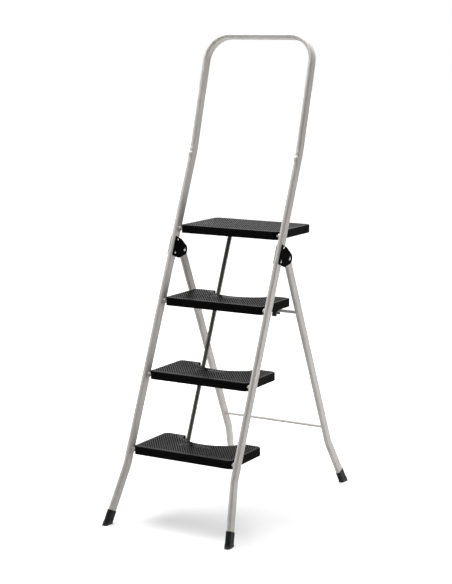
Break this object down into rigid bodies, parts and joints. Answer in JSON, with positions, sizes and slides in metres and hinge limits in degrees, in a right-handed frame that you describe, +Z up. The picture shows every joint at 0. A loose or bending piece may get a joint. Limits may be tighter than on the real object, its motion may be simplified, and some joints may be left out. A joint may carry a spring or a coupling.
{
  "type": "folding step stool",
  "caption": "Folding step stool with a bent-tube front frame, black plastic treads and platform, a high hand rail and a hinged rear frame held open by clips.",
  "frame": {"origin": "on the floor, in the middle of the footprint of the open stool", "axes": "+X to the right of the person who climbs it, +Y away from them towards the rear frame, +Z up"},
  "size_m": [0.4554, 0.8344, 1.5041],
  "materials": {
    "frame_paint": "semi-gloss light grey powder coat",
    "rod_steel": "satin zinc",
    "tread_plastic": "moulded black, studded",
    "bracket_plastic": "glossy black",
    "foot_rubber": "matte black",
    "clip_plastic": "moulded black",
    "plug_plastic": "moulded black",
    "spacer_nylon": "natural nylon",
    "rivet_steel": "bright zinc"
  },
  "bodies": {
    "front_frame": {"front_frame": "frame_paint", "front_foot_cap_left": "foot_rubber", "front_foot_cap_right": "foot_rubber", "bracket_left_outer": "bracket_plastic", "bracket_left_inner": "bracket_plastic", "bracket_right_outer": "bracket_plastic", "bracket_right_inner": "bracket_plastic", "bracket_rivets": "rivet_steel", "hinge_pins": "rivet_steel", "tread_spacers": "spacer_nylon", "lower_tread_axle": "frame_paint", "middle_tread_axle": "frame_paint", "upper_tread_axle": "frame_paint", "platform_axle": "frame_paint"},
    "lower_tread": {"lower_tread": "tread_plastic", "lower_tread_rod_pin": "rivet_steel", "lower_tread_rod_washer": "spacer_nylon"},
    "middle_tread": {"middle_tread": "tread_plastic", "middle_tread_rod_pin": "rivet_steel", "middle_tread_rod_washer": "spacer_nylon"},
    "upper_tread": {"upper_tread": "tread_plastic", "upper_tread_rod_pin": "rivet_steel", "upper_tread_rod_washer": "spacer_nylon", "latch_clip_left": "clip_plastic", "latch_clip_right": "clip_plastic", "clip_screws": "rivet_steel"},
    "platform": {"platform": "tread_plastic", "platform_rod_pin": "rivet_steel", "platform_rod_washer": "spacer_nylon"},
    "link_rod": {"link_rod": "rod_steel", "link_rod_plugs": "plug_plastic"},
    "rear_frame": {"rear_leg_left": "frame_paint", "rear_leg_right": "frame_paint", "upper_crossbar": "frame_paint", "lower_crossbar": "frame_paint", "rear_foot_cap_left": "foot_rubber", "rear_foot_cap_right": "foot_rubber", "hinge_plug_left": "plug_plastic", "hinge_plug_right": "plug_plastic"}
  },
  "joints": [
    {"name": "platform_fold", "type": "hinge", "parent": "front_frame", "child": "platform", "pos_m": [0, -0.01942, 0.887], "axis": [1, 0, 0], "range_deg": [0, 67]},
    {"name": "upper_tread_fold", "type": "hinge", "parent": "front_frame", "child": "upper_tread", "pos_m": [0, -0.11323, 0.666], "axis": [1, 0, 0], "range_deg": [0, 67]},
    {"name": "middle_tread_fold", "type": "hinge", "parent": "front_frame", "child": "middle_tread", "pos_m": [0, -0.20704, 0.445], "axis": [1, 0, 0], "range_deg": [0, 67]},
    {"name": "lower_tread_fold", "type": "hinge", "parent": "front_frame", "child": "lower_tread", "pos_m": [0, -0.30085, 0.224], "axis": [1, 0, 0], "range_deg": [0, 67]},
    {"name": "link_rod_swing", "type": "hinge", "parent": "platform", "child": "link_rod", "pos_m": [-0.084, 0.14188, 0.866], "axis": [1, 0, 0], "range_deg": [-67, 0]},
    {"name": "rear_frame_swing", "type": "hinge", "parent": "front_frame", "child": "rear_frame", "pos_m": [0, 0.00803, 0.815], "axis": [1, 0, 0], "range_deg": [-48.47, 0]}
  ],
  "couplings": [
    {"joint": "upper_tread_fold", "follows": "platform_fold", "ratio": 1},
    {"joint": "middle_tread_fold", "follows": "platform_fold", "ratio": 1},
    {"joint": "lower_tread_fold", "follows": "platform_fold", "ratio": 1},
    {"joint": "link_rod_swing", "follows": "platform_fold", "ratio": -1},
    {"joint": "rear_frame_swing", "follows": "platform_fold", "ratio": -0.72329}
  ]
}
